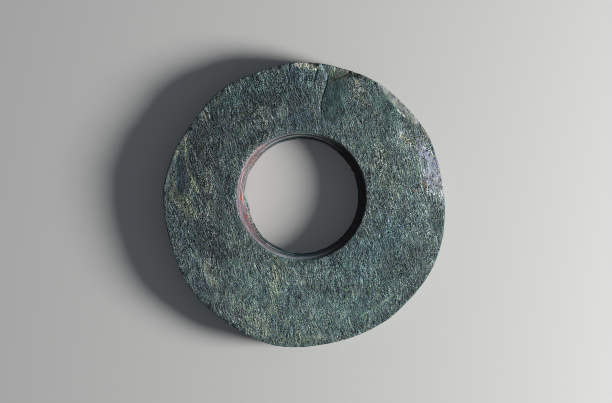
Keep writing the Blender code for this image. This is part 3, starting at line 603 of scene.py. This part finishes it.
# Wears the skin in place, and returns the fields that the stone's colours follow.
def wear(skin, rays):
    headings, radius = polar(skin, disc["rimCentre"])[2:]
    rimRadius = radius.max(1)
    inset = rimRadius[:, None] - radius
    face = ringMask(rays, "face")
    effects = ("stops", "calm", "redder", "bluer", "dig", "ridged", "broken")
    fields = {effect: np.zeros(radius.shape) for effect in effects}
    ragged = textureAt(skin, "ragged")
    picture = pictureOf(skin)
    cutSteps(skin, fields, picture, ragged, face, inset, rimRadius)
    layMarks(fields, picture, ragged, face + ringMask(rays, "frontArris"), faceMarks)
    layMarks(fields, picture, ragged, ringMask(rays, "bore", "mouth", "exit"), wallMarks)
    paintWall(fields, skin, rays)
    breakLip(skin, fields, rays)
    print(f"{len(stepScars)} scars, {len(faceMarks) + len(wallMarks)} marks and the broken lip are laid")
    normals = gridNormals(skin)
    flat = smoothStep(*wearing["flat"], np.abs(normals[..., 2]))
    smooth = 1 - wearing["calmed"] * np.clip(fields["calm"], 0, 1)
    relief = -fields.pop("dig")
    relief += textureAt(skin, "swell", flat)
    relief += textureAt(skin, "ripple", flat, smooth)
    relief += textureAt(skin, "grain", flat, smooth)
    wavy = skin.copy()
    wavy[..., 0] += textureAt(skin, "ridgeWander")
    wavy[..., 0] += wearing["ridgeLean"] * skin[..., 1]
    unmarked, most = wearing["ridged"]
    ridged = np.clip(unmarked + fields.pop("ridged"), 0, most) * smooth
    relief += textureAt(wavy, "ridges", flat, ridged)
    relief += textureAt(skin, "rimFacets", ringMask(rays, "rim", "frontArris", "backArris"))
    arris = ringMask(rays, "frontArris", "backArris", "exit")
    arris = arris + wearing["mouthChips"] * ringMask(rays, "mouth")
    chips = np.clip(textureAt(skin, "chips") - wearing["chipsFrom"], 0, 1)
    whole = np.clip(1 - wearing["calmChips"] * fields["calm"], 0, 1)
    relief -= wearing["chipDepth"] * arris * chips * whole
    frontArris = ringMask(rays, "frontArris")
    for heading, length, depth in rimNicks:
        offset = ((headings - heading + 180) % 360 - 180) * math.radians(1) * radius
        relief -= depth * (np.clip(1 - (offset / (length / 2)) ** 2, 0, 1) * frontArris)
    fields["stops"] += textureAt(skin, "stops")
    fields["calm"] += textureAt(skin, "calm")
    fresh = np.clip(chips * wearing["chipFresh"], 0, 1)
    fields["stops"] += wearing["chipStops"] * frontArris * fresh
    skin += normals * relief[..., None]
    skin[..., 2] = np.maximum(skin[..., 2], 0)
    return fields


def buildDisc(name):
    rays = sectionRays()
    skin = laySkin(cadTree(), rays)
    print(f"the skin lies on the solid: {skin.shape[0]} headings of {skin.shape[1]} rings")
    fields = wear(skin, rays)
    headings, rings = skin.shape[:2]
    corners = np.arange(headings * rings).reshape(headings, rings)
    nextHeading = np.roll(corners, -1, 0)
    quads = np.stack([corners, nextHeading, np.roll(nextHeading, -1, 1), np.roll(corners, -1, 1)], 2)
    mesh = bpy.data.meshes.new(name)
    mesh.from_pydata((skin.reshape(-1, 3) * mm).tolist(), [], quads.reshape(-1, 4).tolist())
    if mesh.polygons[disc["faceRings"] // 2].normal.z < 0:
        mesh.flip_normals()
    inBore = np.array([ray[4] in ("bore", "mouth", "exit") for ray in rays])
    wallRings = np.tile(inBore & np.roll(inBore, -1), headings)
    mesh.materials.append(groundStone())
    mesh.materials.append(drilledStone())
    mesh.polygons.foreach_set("material_index", wallRings.astype(np.int32))
    for field, values in fields.items():
        layer = mesh.attributes.new(field, "FLOAT", "POINT")
        layer.data.foreach_set("value", values.reshape(-1).astype(np.float32))
    mesh.shade_smooth()
    print(f"{name}: {len(mesh.polygons) * 2} triangles")
    return addObject(name, mesh)


def addObject(name, data):
    made = bpy.data.objects.new(name, data)
    bpy.context.scene.collection.objects.link(made)
    return made


# Shader helpers: each adds one node and returns what it puts out.
def feed(tree, socket, value):
    if isinstance(value, bpy.types.NodeSocket):
        tree.links.new(value, socket)
    else:
        socket.default_value = value


def calc(tree, operation, *values):
    made = tree.nodes.new("ShaderNodeMath")
    made.operation = operation
    for socket, value in zip(made.inputs, values):
        feed(tree, socket, value)
    return made.outputs[0]


def clampLow(tree, value):
    return calc(tree, "MAXIMUM", value, 0.0)


def vectorCalc(tree, operation, *values):
    made = tree.nodes.new("ShaderNodeVectorMath")
    made.operation = operation
    for socket, value in zip(made.inputs, values):
        feed(tree, socket, value)
    return made.outputs["Vector"]


def remap(tree, value, low, high, newLow=0.0, newHigh=1.0):
    made = tree.nodes.new("ShaderNodeMapRange")
    for socket, number in zip(made.inputs, (value, low, high, newLow, newHigh)):
        feed(tree, socket, number)
    return made.outputs[0]


def noiseMap(tree, position, scale=1.0, detail=0.0, roughness=0.5, output="Fac"):
    made = tree.nodes.new("ShaderNodeTexNoise")
    feed(tree, made.inputs["Vector"], position)
    made.inputs["Scale"].default_value = scale
    made.inputs["Detail"].default_value = detail
    made.inputs["Roughness"].default_value = roughness
    return made.outputs[output]


def mix(tree, kind, share, first, second, blend="MIX"):
    made = tree.nodes.new("ShaderNodeMix")
    made.data_type = kind
    made.blend_type = blend
    for socket, value in (("Factor", share), ("A", first), ("B", second)):
        feed(tree, made.inputs[socket], value)
    return made.outputs["Result"]


# A shade given as a picture gives it, from 0 to 255, as linear light.
def colour(red, green, blue):
    parts = [part / 255 for part in (red, green, blue)]
    light = [part / 12.92 if part <= 0.04045 else ((part + 0.055) / 1.055) ** 2.4 for part in parts]
    return (*light, 1.0)


def maskOf(tree, name):
    made = tree.nodes.new("ShaderNodeAttribute")
    made.attribute_name = name
    return made.outputs["Fac"]


def newGroup(name, inputs, outputs):
    group = bpy.data.node_groups.new(name, "ShaderNodeTree")
    for socket, value in inputs.items():
        kind = "NodeSocketFloat" if isinstance(value, float) else "NodeSocketVector"
        made = group.interface.new_socket(socket, in_out="INPUT", socket_type=kind)
        made.default_value = value
    for socket in outputs:
        kind = "NodeSocketColor" if socket == "Color" else "NodeSocketFloat"
        group.interface.new_socket(socket, in_out="OUTPUT", socket_type=kind)
    return group, group.nodes.new("NodeGroupInput").outputs, group.nodes.new("NodeGroupOutput").inputs


def useGroup(tree, group, **values):
    made = tree.nodes.new("ShaderNodeGroup")
    made.node_tree = group
    for name, value in values.items():
        feed(tree, made.inputs[name], value)
    return made.outputs


# Felted flecks of the stone: short fibres along one way, crossed by others, with their tone
# around 0, their tint, and the broader ridges that they run along.
fleckWeave = {
    "wander": ((0.07, 5.0), (0.25, 0.9)),   # bends of the fibres: scale of their noise, and reach
    "main": (0.0, 1.0, 1.0),                # further slant, and shares of the width and length
    "crossed": (-0.75, 1.1, 0.8),
    "long": (0.0, 1.8, 22.0),
    "hair": (0.02, 1.8, 50.0),
    "ridge": (0.0, 2.8, 24.0),
    "crossing": (0.35, 0.45, 0.6),          # scale of the noise, and where the crossed fibres come in
    "shares": (0.76, 0.24, 0.65),           # of short fibres, long ones and pale hairs in the tone
    "hairFrom": 0.6,
    "middle": 0.51,
    "tintOff": (31.0, 17.0, 5.0),           # sets the tint's noise apart from the tone's
    "tintScale": 0.9,
}


def makeFleckGroup():
    group, given, out = newGroup(
        "stoneFlecks",
        {"Position": (0, 0, 0), "Width": 0.5, "Length": 1.3, "Slant": 0.0},
        ("Tone", "Tint", "Ridge"),
    )
    weave = fleckWeave
    position = given["Position"]
    for scale, reach in weave["wander"]:
        bend = noiseMap(group, given["Position"], scale, 1.0, output="Color")
        bend = vectorCalc(group, "SUBTRACT", bend, (0.5, 0.5, 0.5))
        bend = vectorCalc(group, "MULTIPLY", bend, (reach, reach, reach))
        position = vectorCalc(group, "ADD", position, bend)
    split = group.nodes.new("ShaderNodeSeparateXYZ")
    feed(group, split.inputs[0], position)
    east, north, high = split.outputs

    def fibres(kind):
        lean, width, length = weave[kind]
        slant = calc(group, "ADD", given["Slant"], lean)
        packed = group.nodes.new("ShaderNodeCombineXYZ")
        sizes = (calc(group, "MULTIPLY", given["Width"], width),
                 calc(group, "MULTIPLY", given["Length"], length), given["Width"])
        places = (calc(group, "MULTIPLY_ADD", north, slant, east), north, high)
        for socket, place, size in zip(packed.inputs, places, sizes):
            feed(group, socket, calc(group, "DIVIDE", place, size))
        return packed.outputs[0]

    main = fibres("main")
    scale, low, full = weave["crossing"]
    crossing = remap(group, noiseMap(group, given["Position"], scale, 1.0), low, full)
    flecks = mix(group, "FLOAT", crossing, noiseMap(group, main), noiseMap(group, fibres("crossed")))
    fleckShare, longShare, hairShare = weave["shares"]
    tone = calc(group, "MULTIPLY", flecks, fleckShare)
    tone = calc(group, "MULTIPLY_ADD", noiseMap(group, fibres("long")), longShare, tone)
    hairs = clampLow(group, calc(group, "SUBTRACT", noiseMap(group, fibres("hair")), weave["hairFrom"]))
    tone = calc(group, "MULTIPLY_ADD", hairs, hairShare, tone)
    feed(group, out["Tone"], calc(group, "SUBTRACT", tone, weave["middle"]))
    apart = vectorCalc(group, "ADD", main, weave["tintOff"])
    feed(group, out["Tint"], noiseMap(group, apart, weave["tintScale"]))
    feed(group, out["Ridge"], calc(group, "SUBTRACT", noiseMap(group, fibres("ridge"), 1.0, 1.0), 0.5))
    return group


# A stone's colour: a middle green light, made lighter or darker by the grain, as the eye sees it,
# and by stops, with red and blue as shares of it.
leastSeen = 0.15
eyePower = 2.2


def makeStoneGroup():
    group, given, out = newGroup(
        "stoneColour",
        {"Green": 0.06, "Grain": 0.0, "Stops": 0.0, "Red": 0.8, "Blue": 1.0},
        ("Color",),
    )
    hue = group.nodes.new("ShaderNodeCombineColor")
    for channel, share in zip(hue.inputs, (given["Red"], 1.0, given["Blue"])):
        feed(group, channel, clampLow(group, share))
    seen = calc(group, "MAXIMUM", calc(group, "ADD", given["Grain"], 1.0), leastSeen)
    doubled = calc(group, "POWER", 2.0, given["Stops"])
    light = calc(group, "MULTIPLY", calc(group, "POWER", seen, eyePower), doubled)
    light = calc(group, "MULTIPLY", light, given["Green"])
    feed(group, out["Color"], mix(group, "RGBA", 1.0, hue.outputs[0], light, "MULTIPLY"))
    return group


groups = {"flecks": makeFleckGroup(), "stone": makeStoneGroup()}


def newMaterial(name):
    material = bpy.data.materials.new(name)
    material.use_nodes = True
    tree = material.node_tree
    coordinates = tree.nodes.new("ShaderNodeTexCoord")
    position = vectorCalc(tree, "MULTIPLY", coordinates.outputs["Object"], (1 / mm, 1 / mm, 1 / mm))
    return material, tree, tree.nodes["Principled BSDF"], position


def addBump(tree, shader, height, distance):
    bump = tree.nodes.new("ShaderNodeBump")
    bump.inputs["Distance"].default_value = distance * mm
    feed(tree, bump.inputs["Height"], height)
    feed(tree, shader.inputs["Normal"], bump.outputs["Normal"])


# A value that varies about its base: base plus noise less a half, times reach.
def vary(tree, value, base, reach):
    return calc(tree, "MULTIPLY_ADD", calc(tree, "SUBTRACT", value, 0.5), reach, base)


def dress(tree, shader, look, grain, red, blue):
    shade = useGroup(tree, groups["stone"], Green=look["green"], Grain=grain,
                     Stops=maskOf(tree, "stops"), Red=red, Blue=blue)
    feed(tree, shader.inputs["Base Color"], shade["Color"])
    shader.inputs["Specular IOR Level"].default_value = look["sheen"]


# The ground stone of the faces and the rim.
faceStone = {
    "fleckWidth": 0.23,
    "fleckLength": 0.23,
    "contrast": 6.6,              # of the flecks, and of the ridges that they run along
    "ridgeContrast": 1.9,
    "ridgeHeight": 1.3,
    "patches": (0.4, 0.22, 0.4),
    "patchContrast": 0.9,
    "highFrom": 0.6,              # grain lighter than this is held back by the share that follows
    "highCut": 0.3,
    "deepFrom": 0.3,              # and grain darker than this goes deeper by it
    "deepMore": 0.3,
    "slants": (-45.0, 15.0, 0.28, 0.24),   # of the fibres, between two places from left to right
    "green": 0.0765,              # of the middle tone, with red and blue as shares of it
    "red": dict(middle=0.32, least=0.30, dark=0.20, light=(0.0, 1.6, 0.0, 0.55)),
    "blue": dict(middle=0.60, least=0.45, dark=0.44, light=(0.5, 1.5, 0.0, 0.08)),
    "redSpread": (0.35, 0.65, -0.55, 0.55),     # from fleck to fleck: the noise, then what it gives
    "blueSpread": (0.35, 0.65, -0.95, 0.95),
    "together": 0.2,              # how far the red follows the blue there
    "rustFlecks": (3.6, 3.0, 3.6),
    "darkest": 0.45,              # tone below which the hue of dark flecks changes no further
    "widest": 1.5,                # most that their hues spread more than those of the middle tone
    "litSpread": (-0.45, 1.7),    # for dark places: power of the stops, and the most
    "sheen": 0.35,
    "roughness": (-0.2, 0.2, 0.42, 0.62),       # from the dark flecks to the light ones
    "bumpHeight": 0.30,
}


def groundStone():
    material, tree, shader, position = newMaterial("groundGreenStone")
    look = faceStone
    split = tree.nodes.new("ShaderNodeSeparateXYZ")
    feed(tree, split.inputs[0], position)
    slant = remap(tree, split.outputs[0], *look["slants"])
    flecks = useGroup(tree, groups["flecks"], Position=position, Width=look["fleckWidth"],
                      Length=look["fleckLength"], Slant=slant)
    lively = calc(tree, "SUBTRACT", 1.0, maskOf(tree, "calm"))
    grain = calc(tree, "MULTIPLY", flecks["Tone"], look["contrast"])
    grain = calc(tree, "MULTIPLY_ADD", flecks["Ridge"], look["ridgeContrast"], grain)
    grain = calc(tree, "MULTIPLY", grain, lively)
    patches = noiseMap(tree, vectorCalc(tree, "MULTIPLY", position, look["patches"]), detail=1.0)
    grain = vary(tree, patches, grain, look["patchContrast"])
    high = clampLow(tree, calc(tree, "SUBTRACT", grain, look["highFrom"]))
    grain = calc(tree, "MULTIPLY_ADD", high, -look["highCut"], grain)
    deep = clampLow(tree, calc(tree, "SUBTRACT", -look["deepFrom"], grain))
    grain = calc(tree, "MULTIPLY_ADD", deep, -look["deepMore"], grain)
    tone = calc(tree, "MAXIMUM", calc(tree, "ADD", grain, 1.0), look["darkest"])
    darker = calc(tree, "DIVIDE", 1.0, tone)
    power, most = look["litSpread"]
    place = calc(tree, "POWER", 2.0, calc(tree, "MULTIPLY", maskOf(tree, "stops"), power))
    place = calc(tree, "MINIMUM", place, most)
    wide = calc(tree, "MULTIPLY", calc(tree, "MINIMUM", darker, look["widest"]), place)
    rust = noiseMap(tree, vectorCalc(tree, "MULTIPLY", position, look["rustFlecks"]))
    blueSpread = remap(tree, flecks["Tint"], *look["blueSpread"])
    redSpread = remap(tree, rust, *look["redSpread"])
    redSpread = calc(tree, "MULTIPLY_ADD", blueSpread, look["together"], redSpread)

    # Red or blue as a share of the green: more in dark flecks, and more red in light ones.
    def share(mask, hue, spread):
        value = calc(tree, "ADD", maskOf(tree, mask), hue["middle"])
        value = calc(tree, "MULTIPLY_ADD", darker, hue["dark"], value)
        value = calc(tree, "MULTIPLY_ADD", spread, wide, value)
        value = calc(tree, "ADD", remap(tree, grain, *hue["light"]), value)
        return calc(tree, "MAXIMUM", value, hue["least"])

    red = share("redder", look["red"], redSpread)
    blue = share("bluer", look["blue"], blueSpread)
    dress(tree, shader, look, grain, red, blue)
    feed(tree, shader.inputs["Roughness"], remap(tree, flecks["Tone"], *look["roughness"]))
    height = calc(tree, "MULTIPLY_ADD", flecks["Ridge"], look["ridgeHeight"], flecks["Tone"])
    addBump(tree, shader, calc(tree, "MULTIPLY", height, lively), look["bumpHeight"])
    return material


# The drilled wall: fine rings from the drill in a greyer stone. Its rosy side, the traces of red
# pigment, and the painted light and shade round the hole are in the fields.
wallStone = {
    "green": 0.12,
    "rings": (0.02, 0.02, 0.55),
    "ringTint": ((9.0, 3.0, 4.0), 1.4, 2.0, 0.6),   # offset, scale, detail and roughness of its noise
    "ringContrast": 2.1,
    "ringRed": 1.8,               # the light rings are rosier
    "flecks": (0.35, 0.5),
    "fleckContrast": (1.5, 3.2),  # on the drilled stone, and where it is broken
    "red": (0.95, 0.6),
    "blue": (1.05, 0.6),
    "roughness": 0.5,
    "sheen": 0.15,                # dull, so that the side in shadow stays dark
    "bumpHeight": 0.08,
}


def drilledStone():
    material, tree, shader, position = newMaterial("drilledGreenStone")
    look = wallStone
    fromAxis = vectorCalc(tree, "SUBTRACT", position, (*disc["boreCentre"], 0))
    ringPlace = vectorCalc(tree, "MULTIPLY", fromAxis, look["rings"])
    lines = noiseMap(tree, ringPlace)
    flecks = useGroup(tree, groups["flecks"], Position=position, Width=look["flecks"][0],
                      Length=look["flecks"][1], Slant=0.0)
    broken = maskOf(tree, "broken")
    drilled = calc(tree, "SUBTRACT", 1.0, broken)
    speckle = calc(tree, "MULTIPLY", flecks["Tone"], mix(tree, "FLOAT", broken, *look["fleckContrast"]))
    rings = calc(tree, "MULTIPLY", calc(tree, "SUBTRACT", lines, 0.5), drilled)
    grain = calc(tree, "MULTIPLY_ADD", rings, look["ringContrast"], speckle)
    offset, *tintNoise = look["ringTint"]
    other = noiseMap(tree, vectorCalc(tree, "ADD", ringPlace, offset), *tintNoise)
    red = calc(tree, "ADD", vary(tree, other, *look["red"]), maskOf(tree, "redder"))
    red = calc(tree, "MULTIPLY_ADD", rings, look["ringRed"], red)
    blue = calc(tree, "ADD", vary(tree, flecks["Tint"], *look["blue"]), maskOf(tree, "bluer"))
    dress(tree, shader, look, grain, red, blue)
    shader.inputs["Roughness"].default_value = look["roughness"]
    addBump(tree, shader, lines, look["bumpHeight"])
    return material


stoneDisc = buildDisc("carvedStoneDisc")
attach(stoneDisc, "root")
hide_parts("stone_bi_disc")

# A pale floor, a low soft key from the disc's right, and a weak even fill.
studio = {
    "floorSide": 3.0,
    "floorGap": 0.05,             # or the floor and the disc's back lie in one plane
    "floorShade": (205, 204, 200),
    "floorRoughness": 0.9,
    "keyPlace": (0.87, -0.15, 0.40),
    "keySize": 0.32,
    "keyPower": 16.0,
    "fillShade": (0.80, 0.88, 1.0),
    "fillStrength": 0.15,
    "filterWidth": 1.0,           # crisp enough for grain of a pixel
}


def layFloor():
    half = studio["floorSide"] / 2
    mesh = bpy.data.meshes.new("floor")
    corners = [(-half, -half, 0), (half, -half, 0), (half, half, 0), (-half, half, 0)]
    mesh.from_pydata(corners, [], [(0, 1, 2, 3)])
    floor = addObject("floor", mesh)
    floor.location.z = -studio["floorGap"] * mm
    material = bpy.data.materials.new("paleFloor")
    material.use_nodes = True
    shader = material.node_tree.nodes["Principled BSDF"]
    shader.inputs["Base Color"].default_value = colour(*studio["floorShade"])
    shader.inputs["Roughness"].default_value = studio["floorRoughness"]
    mesh.materials.append(material)


def lightStudio():
    lamp = bpy.data.lights.new("key", "AREA")
    lamp.shape = "DISK"
    lamp.size = studio["keySize"]
    lamp.energy = studio["keyPower"]
    key = addObject("key", lamp)
    key.location = studio["keyPlace"]
    key.rotation_euler = (-key.location).to_track_quat("-Z", "Y").to_euler()
    world = bpy.data.worlds.new("studioFill")
    bpy.context.scene.world = world
    world.use_nodes = True
    world.node_tree.nodes["Background"].inputs["Color"].default_value = (*studio["fillShade"], 1.0)
    world.node_tree.nodes["Background"].inputs["Strength"].default_value = studio["fillStrength"]
    bpy.context.scene.view_settings.view_transform = "Standard"
    bpy.context.scene.cycles.filter_width = studio["filterWidth"]
    bpy.context.scene.cycles.denoising_prefilter = "NONE"  # or the denoiser takes the grain for noise


def setCamera():
    lens = bpy.data.cameras.new("photoView")
    lens.lens = lens.sensor_width * view["height"] / view["widthShown"]
    camera = addObject("photoView", lens)
    camera.location = Vector((*view["place"], thickness + view["height"])) * mm
    bpy.context.scene.camera = camera


layFloor()
lightStudio()
setCamera()
print("floor, lights and camera are in place")
